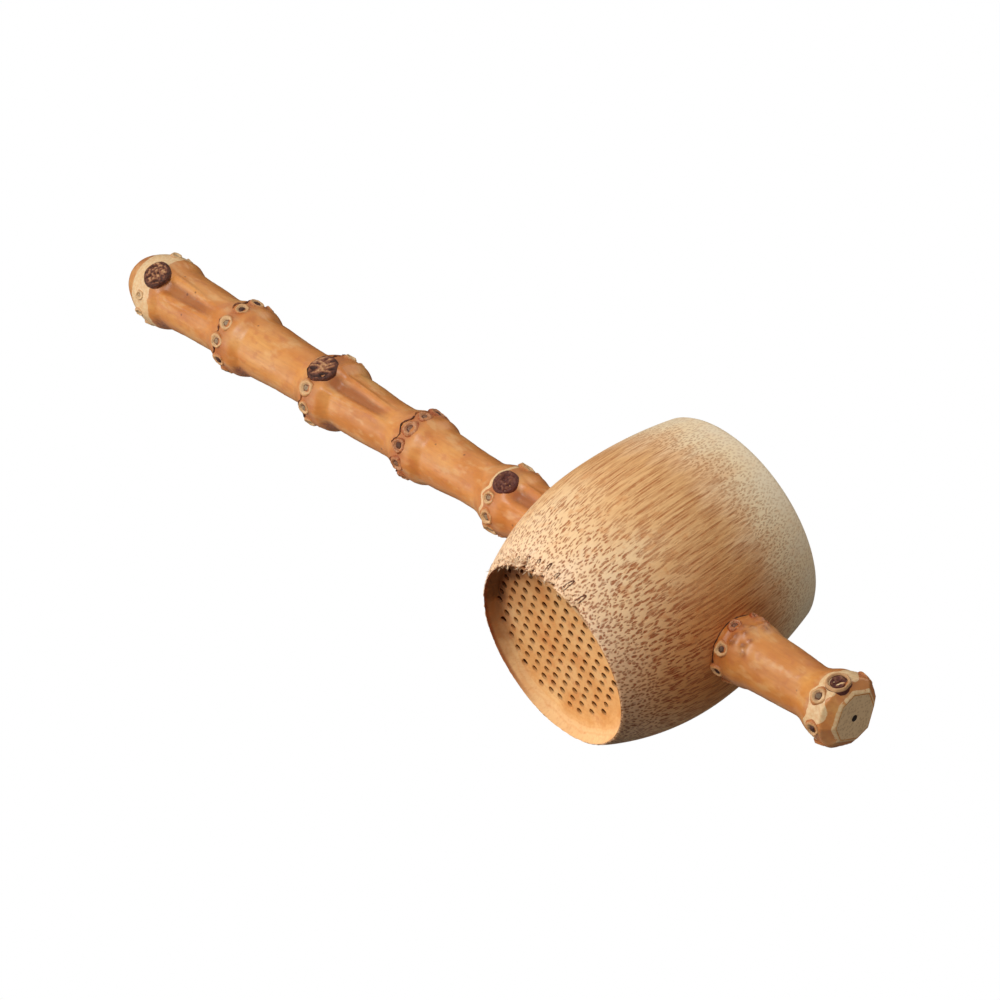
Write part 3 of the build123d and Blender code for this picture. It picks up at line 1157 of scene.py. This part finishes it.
def build_buds(stick, material, with_rim, dark):
    """The rough bud scars, each a disc of torn fibre; some keep a pale rim and some are dark."""
    picker = random.Random(3)
    shape = Shape("rim", "ridge", "dusky")
    for index, ring in enumerate(stick.rings):
        side, up = spin(ring.bud_angle)
        normal = Vector((0.06, side, up)).normalized()
        seat = min(stick.radius(ring.station, ring.bud_angle), ring.radius + 0.2)
        centre = stick.point(ring.bud_station, ring.bud_angle, seat - 0.15)
        seed = picker.uniform(0, 50)
        rimmed = index in with_rim
        core = 0.64 if rimmed else 0.9
        profile = bud_profile(ring.bud_radius * 1.06, core, rimmed)
        verts, faces, shares = lathe(centre, normal, profile, 72, 0.1, seed)
        rims, ridges = [], []
        for i, (point, share) in enumerate(zip(verts, shares)):
            inner = 1 - smooth(core - 0.12, core, share)
            off = point - centre
            sideways = off.y * up - off.z * side
            lay = off.x * 0.75 - sideways * 0.65
            across_lay = off.x * 0.65 + sideways * 0.75
            coarse = 1 - abs(rough(lay, across_lay * 0.45, 0, 0.95, seed)) * 2.4
            crumbs = 0.5 + 0.9 * rough(point.x, point.y, point.z, 1.9, seed + 9)
            ridge = mix(coarse, crumbs, 0.15 if index == 2 else 0.7)
            ridges.append(mix(0.25, ridge, inner))
            verts[i] = point + normal * (0.36 * (coarse - 0.5) + 0.26 * (crumbs - 0.5)) * inner
            pale = smooth(core + 0.02, core + 0.08, share) * (1 - smooth(0.9, 0.97, share))
            rims.append(pale if rimmed else 0)
        dusky = 1 if index in dark else 0
        shape.add(verts, faces, rims, ridges, [dusky] * len(verts))
    shape.finish(stick.name + "_bud_scars", material, "bud_scar", stick.node + "_buds")


def tube_round(stick, steps, lay):
    """A thin closed tube round a stick; lay gives its station, lift and thickness by angle."""
    verts = []
    for i in range(steps):
        angle = 360 * i / steps
        x, lift, thick = lay(angle)
        centre = stick.point(x, angle, stick.radius(x, angle) + lift)
        away = Vector((0, *spin(angle)))
        for k in range(TUBE_SIDES):
            along, out = spin(360 * k / TUBE_SIDES)
            verts.append(centre + (Vector((along, 0, 0)) + away * out) * thick)
    return verts, turned_over(ring_faces(steps, TUBE_SIDES, closed_rows=True))


def build_threads(stick, rings, material):
    """The thin dark sheath edge round some of the rings, broken in places."""
    shape = Shape()
    for ring in rings:

        def lay(angle, ring=ring):
            x = stick.collar(ring, angle) + 0.16 * rough_round(angle, ring.station, 15)
            whole = smooth(-0.55, -0.25, rough_round(angle, ring.station, 2.6, 3))
            thick = 0.21 * whole * (1 + 0.9 * rough_round(angle, ring.station, 11))
            return x, mix(-0.3, 0.05, whole), thick

        shape.add(*tube_round(stick, 300, lay))
    shape.finish(stick.name + "_sheath_threads", material, "root_scar")


def wall_station(stick, angle, way):
    """Station where a stick's skin at an angle meets the bowl's outside; way is -1 or 1 along X."""
    x = way * BELLY_RADIUS
    for _ in range(3):
        at = stick.point(x, angle, stick.radius(x, angle))
        t = at.z / BOWL_HEIGHT
        across = (at.y - BOWL_LEAN_Y * t) / BOWL_OVAL
        x = BOWL_LEAN_X * t + way * sqrt(outer_radius(at.z) ** 2 - across**2)
    return x


def build_joints(material):
    """Painted contact shade: a dark line round where each stick enters the bowl."""
    shape = Shape()
    for stick, way in ((handle, -1), (rest, 1)):

        def lay(angle, stick=stick, way=way):
            thick = 0.2 * (1 + 0.8 * rough_round(angle, way, 7))
            return wall_station(stick, angle, way), 0, thick

        shape.add(*tube_round(stick, 160, lay))
    shape.finish("joint_contact_shade", material, "culm")


def handle_masks(x, angle):
    """Pale and stained parts of the handle.

    Sanding left a pale band behind the domed tip, wider on the underside, and a pale edge along
    the last ring's sheath. Small dark scars lie on the underside beside the first three rings.
    """
    lower = 0.5 - 0.5 * spin(angle - 40)[1]
    edge = handle.rings[0].station + mix(2.2, 3.2, lower)
    start = handle.low + mix(5.2, 7, lower)
    tip = smooth(start - 0.7, start + 0.9, x) * (1 - smooth(edge - 1.2, edge + 1.2, x))
    last = handle.rings[-1]
    sheath = bell(x - handle.collar(last, angle), 0.5, 4)
    across = bell(skin_arc(angle, 298), 2.4, 4)
    stain = max(bell(x - ring.station - 5.6, 1.9, 4) * across for ring in handle.rings[:3])
    return max(tip, sheath), stain


def stub_masks(x, angle):
    """Pale and stained parts of the stub: a scraped far ring, and a warty reddish near one."""
    far = rest.rings[1]
    gap = x - rest.collar(far, angle)
    towards = 1 - smooth(45, 75, apart(angle, far.bud_angle + 18))
    scraped = smooth(-1, -0.2, gap) * (1 - smooth(mix(0.6, 3.2, towards), mix(1.4, 4.4, towards), gap))
    rim = 0.56 * smooth(rest.high - 0.8, rest.high - 0.5, x)
    wart = 0
    for station, wart_angle, size, _ in rest.bumps:
        gap = hypot(x - station, skin_arc(angle, wart_angle))
        wart = max(wart, 0.8 * bell(gap, 1.2 * size))
    return max(scraped, rim), wart


# ---- stage


def build_camera():
    """Swings the camera about the point that it aims at."""
    data = bpy.data.cameras.new("camera")
    data.lens = CAMERA_LENS
    data.sensor_width = 36
    data.clip_start = 0.01
    camera = new_object("camera", data)
    bpy.context.scene.camera = camera
    camera.matrix_world = (
        Matrix.Translation(Vector(CAMERA_AIM) * MM)
        @ Matrix.Rotation(radians(CAMERA_AZIMUTH), 4, "Z")
        @ Matrix.Rotation(radians(90 - CAMERA_ELEVATION), 4, "X")
        @ Matrix.Rotation(radians(CAMERA_ROLL), 4, "Z")
        @ Matrix.Translation((0, 0, CAMERA_DISTANCE * MM))
    )


def build_light(name, direction, size, watts, colour):
    """A large soft lamp that faces the object and isn't seen itself."""
    data = bpy.data.lights.new(name, "AREA")
    data.shape = "DISK"
    data.size = size
    data.energy = watts
    data.color = colour
    lamp = new_object(name, data)
    towards = Vector(direction).normalized()
    middle = Vector((-0.03, 0, 0.026))
    lamp.location = middle + towards * LAMP_DISTANCE
    lamp.rotation_euler = towards.to_track_quat("Z", "Y").to_euler()
    lamp.visible_camera = False


def build_world():
    """White to the camera; the object is lit by a bright soft half of the sky and a dim half."""
    world = bpy.data.worlds.new("studio")
    bpy.context.scene.world = world
    n = Nodes(world, "OutputWorld")
    seen = n.add("Background", {"Color": (255, 255, 255)})
    way = n.add("TexCoord").outputs["Generated"]
    facing = n.vector("DOT_PRODUCT", way, Vector(KEY_DIRECTION).normalized())
    strength = n.ramp(facing, -0.35, 0.35, SKY_DIM, SKY_BRIGHT)
    ambient = n.add("Background", {"Strength": strength})
    ambient.inputs["Color"].default_value = (1, 0.99, 0.97, 1)
    to_camera = n.add("LightPath").outputs["Is Camera Ray"]
    n.either(to_camera, ambient.outputs[0], seen.outputs[0])


def build_floor():
    """A pale floor that shows only from above, because the camera looks up from under it."""
    half = 3000
    corners = [(-half, -half, 0), (half, -half, 0), (half, half, 0), (-half, half, 0)]
    floor = new_mesh("floor", corners, [(0, 1, 2, 3)])
    floor.location.z = -0.3 * MM
    floor.visible_shadow = False
    material = bpy.data.materials.new("pale_floor")
    n = Nodes(material, "OutputMaterial")
    paint = n.add("BsdfDiffuse")
    paint.inputs["Color"].default_value = (0.92, 0.92, 0.91, 1)
    clear = n.add("BsdfTransparent")
    under = n.add("NewGeometry").outputs["Backfacing"]
    n.either(under, paint.outputs[0], clear.outputs[0])
    floor.data.materials.append(material)


build_camera()
build_world()
for lamp in LAMPS:
    build_light(*lamp)
build_floor()
bpy.context.scene.view_settings.view_transform = "Standard"

pale_stops = (0.34, 206, 156, 112), (0.44, 244, 214, 176), (0.7, 255, 240, 214)
dark_stops = (0.36, 54, 28, 20), (0.56, 108, 58, 36), (0.68, 170, 104, 60)
torn = fibre_material("torn_fibre", 1.4, *pale_stops)
brown = fibre_material("brown_fibre", 1.4, (0.34, 150, 92, 60), (0.6, 216, 160, 112))
# Painted shade: the colour of the dark slivers and loops at the foot's torn edge
slit = fibre_material("dark_slit", 1.8, (0.35, 58, 30, 22), (0.65, 126, 76, 50), specular=0.25)
# Dark fibre for the sheath threads, also used for the painted contact shade round the joints
thread = fibre_material("sheath_thread", 0.8, *dark_stops, roughness=0.55)
rhizome = rhizome_material()
root_scar = root_material()
bud_scar = bud_material()

build_bowl(culm_material())
build_septum(septum_material())
build_foot_fibres(torn, brown, slit)

# The handle's first ring is sanded pale and its fourth is rusty
handle = Stick("handle", "handle", (7, 6.4, 6, 5.8, 5.6, 5.8))
build_skin(handle, handle_stations(handle), handle_masks, rhizome)
build_roots(handle, root_scar, lambda index, angle: {0: -1, 3: 0.8}.get(index, 0), (2, 4))
build_buds(handle, bud_scar, (), (4,))
build_threads(handle, handle.rings[1:4], thread)

# The stub's near ring has warts, and its roots are rusty on the underside
rest = Stick("rest", "rest_stub", (5.8, 5.5, 5.3), buried=True)
warts = random.Random(21)
for _ in range(16):
    place = (warts.uniform(29, 33.5), warts.uniform(140, 232))
    rest.bumps.append((*place, warts.uniform(0.45, 0.8), warts.uniform(0.25, 0.5)))
build_skin(rest, stub_stations(rest), stub_masks, rhizome, cut_end=True)
build_roots(rest, root_scar, lambda index, angle: 1 if index == 0 and angle < 212 else 0, ())
build_buds(rest, bud_scar, (1,), (0, 1))
# Painted contact shade round both joints, in the sheath threads' dark fibre
build_joints(thread)
